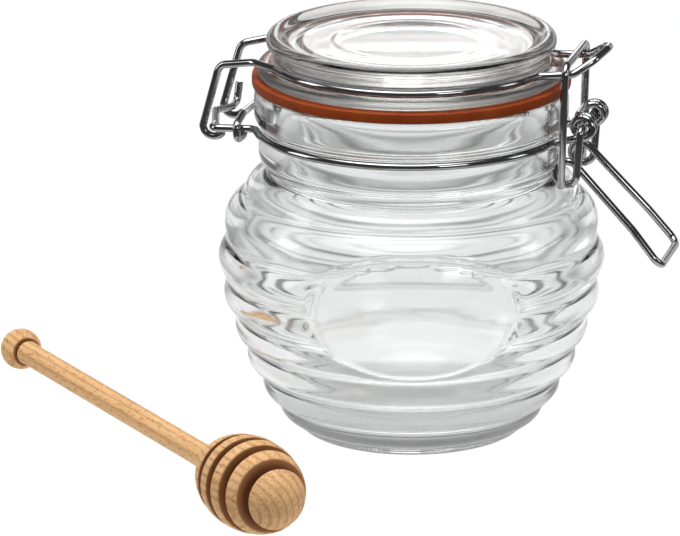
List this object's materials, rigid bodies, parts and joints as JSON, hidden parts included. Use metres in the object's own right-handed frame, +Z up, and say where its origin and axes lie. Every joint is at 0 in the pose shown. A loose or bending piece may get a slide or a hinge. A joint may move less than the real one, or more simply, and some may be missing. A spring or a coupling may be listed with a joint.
{
  "type": "honey jar with dipper",
  "caption": "Clip-top glass honey jar with a ribbed beehive body, rubber seal and wire bail, shut and empty, with a grooved wooden honey dipper lying beside it.",
  "frame": {"origin": "centre of the jar's flat underside, on the surface that the jar and the dipper lie on", "axes": "+Z up along the jar's axis, +X from the hinge towards the latch, +Y along the hinge's axis, away from the plain oval field"},
  "size_m": [0.1952, 0.1686, 0.1103],
  "materials": {
    "jar_glass": "clear, ribbed",
    "lid_glass": "clear, polished",
    "seal": "smooth",
    "neck_wire": "bright drawn wire",
    "lid_wire": "bright drawn wire",
    "lever": "bright drawn wire",
    "link": "bright drawn wire",
    "dipper": "plain turned beech"
  },
  "bodies": {
    "jar": {"jar_glass": "jar_glass", "neck_wire": "neck_wire", "dipper": "dipper"},
    "lid": {"lid_glass": "lid_glass", "seal_ring": "seal", "lid_wire": "lid_wire"},
    "lever": {"lever": "lever"},
    "link": {"link": "link"}
  },
  "joints": [
    {"name": "lid_hinge", "type": "hinge", "parent": "jar", "child": "lid", "pos_m": [-0.0522, 0, 0.0839], "axis": [0, -1, 0], "range_deg": [0, 110]},
    {"name": "lever_pivot", "type": "hinge", "parent": "jar", "child": "lever", "pos_m": [0.0488, 0, 0.0888], "axis": [0, -1, 0], "range_deg": [0, 65]},
    {"name": "link_swing", "type": "hinge", "parent": "lid", "child": "link", "pos_m": [0.0451, 0, 0.1066], "axis": [0, -1, 0], "range_deg": [0, 27]}
  ],
  "couplings": [
    {"joint": "link_swing", "follows": "lever_pivot", "ratio": 0.4}
  ]
}
